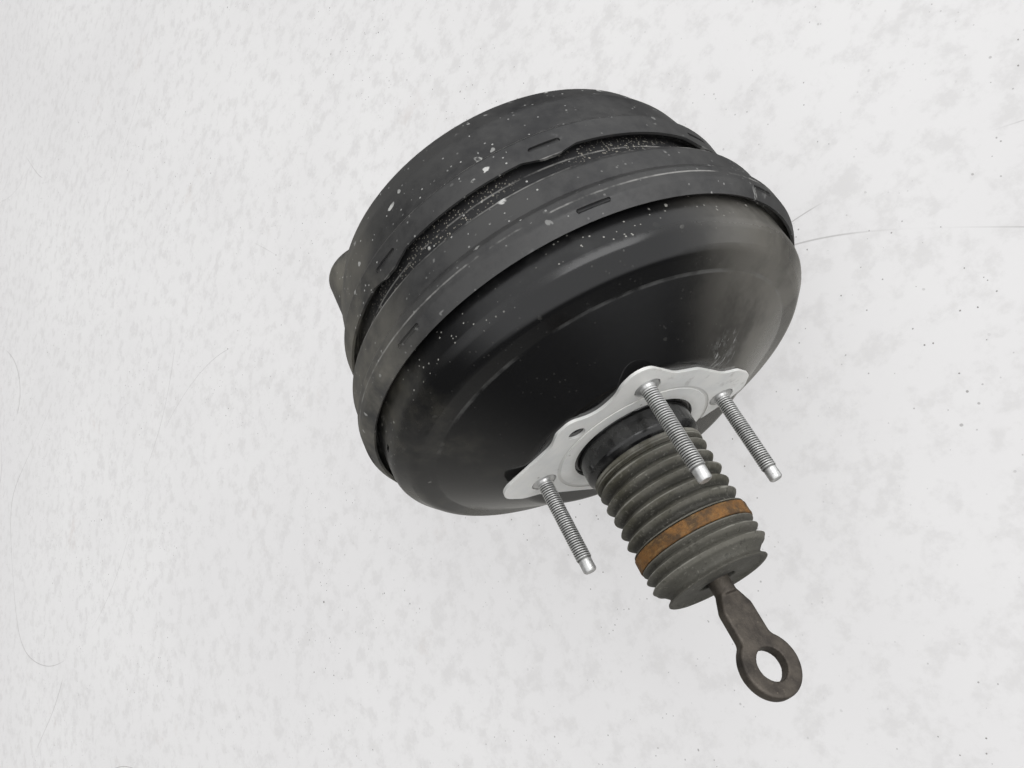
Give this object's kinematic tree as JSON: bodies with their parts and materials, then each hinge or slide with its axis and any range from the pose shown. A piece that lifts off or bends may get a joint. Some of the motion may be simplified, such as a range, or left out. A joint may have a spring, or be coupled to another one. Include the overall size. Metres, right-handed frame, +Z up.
{
  "type": "brake booster",
  "caption": "Tandem vacuum brake booster: crimped drum housing, threaded bulkhead and master cylinder studs, ribbed dust boot and a sliding push rod with a flat eye.",
  "frame": {"origin": "centre of the four-stud pattern on the rear (bulkhead) face of the mounting plate", "axes": "booster axis along Y: -Y towards the brake pedal, +Y towards the master cylinder; +Z up in the car, X across the car"},
  "size_m": [0.2568, 0.3342, 0.2568],
  "materials": {
    "shell_paint": "semi-gloss black paint",
    "plate_finish": "satin pale coating",
    "zinc_steel": "bright zinc",
    "plain_steel": "pressed steel",
    "spring_steel": "oiled",
    "rusty_steel": "rusted",
    "forged_steel": "dull dark forging",
    "boot_rubber": "dusty grey",
    "black_rubber": "matte",
    "body_plastic": "moulded",
    "filter_foam": "open foam"
  },
  "bodies": {
    "housing": {"front_shell": "shell_paint", "vacuum_grommet": "black_rubber", "center_shell": "shell_paint", "rear_shell": "shell_paint", "mounting_plate": "plate_finish", "bulkhead_stud_1": "zinc_steel", "bulkhead_stud_2": "zinc_steel", "bulkhead_stud_3": "zinc_steel", "bulkhead_stud_4": "zinc_steel", "front_stud_1": "zinc_steel", "front_stud_2": "zinc_steel", "front_reinforcement": "plain_steel", "neck_bearing": "body_plastic", "neck_seal": "black_rubber", "bearing_retainer": "plain_steel", "divider_plate": "plain_steel", "divider_seal": "black_rubber", "rear_diaphragm": "black_rubber", "front_diaphragm": "black_rubber", "return_spring": "spring_steel", "dust_boot": "boot_rubber"},
    "power_piston": {"valve_body": "body_plastic", "rear_plate": "plain_steel", "front_plate": "plain_steel", "rear_retainer": "plain_steel", "front_retainer": "plain_steel", "stop_key": "plain_steel", "poppet_valve": "black_rubber", "poppet_retainer": "plain_steel", "poppet_spring": "spring_steel", "input_spring": "spring_steel", "reaction_disc": "black_rubber", "output_rod": "plain_steel", "air_filter": "filter_foam", "silencer": "filter_foam"},
    "plunger": {"valve_plunger": "plain_steel"},
    "push_rod": {"input_pushrod": "forged_steel", "spring_seat": "plain_steel"},
    "boot_support": {"boot_ring": "rusty_steel"}
  },
  "joints": [
    {"name": "piston_slide", "type": "slide", "parent": "housing", "child": "power_piston", "axis": [0, 1, 0], "range_m": [0, 0.036], "stiffness_N_per_m": 2000, "springref_m": -0.05, "deforming": ["return_spring", "rear_diaphragm", "front_diaphragm", "dust_boot"]},
    {"name": "plunger_slide", "type": "slide", "parent": "power_piston", "child": "plunger", "axis": [0, 1, 0], "range_m": [0, 0.0015], "stiffness_N_per_m": 800, "springref_m": -0.02, "deforming": ["input_spring"]},
    {"name": "pushrod_tilt", "type": "hinge", "parent": "plunger", "child": "push_rod", "pos_m": [0, -0.002, 0], "axis": [0.9272, 0, 0.3746], "range_deg": [-3, 3], "stiffness_Nm_per_rad": 8},
    {"name": "boot_support_slide", "type": "slide", "parent": "housing", "child": "boot_support", "axis": [0, 1, 0], "range_m": [0, 0.0254]}
  ],
  "couplings": [
    {"joint": "boot_support_slide", "follows": "piston_slide", "ratio": 0.705}
  ]
}
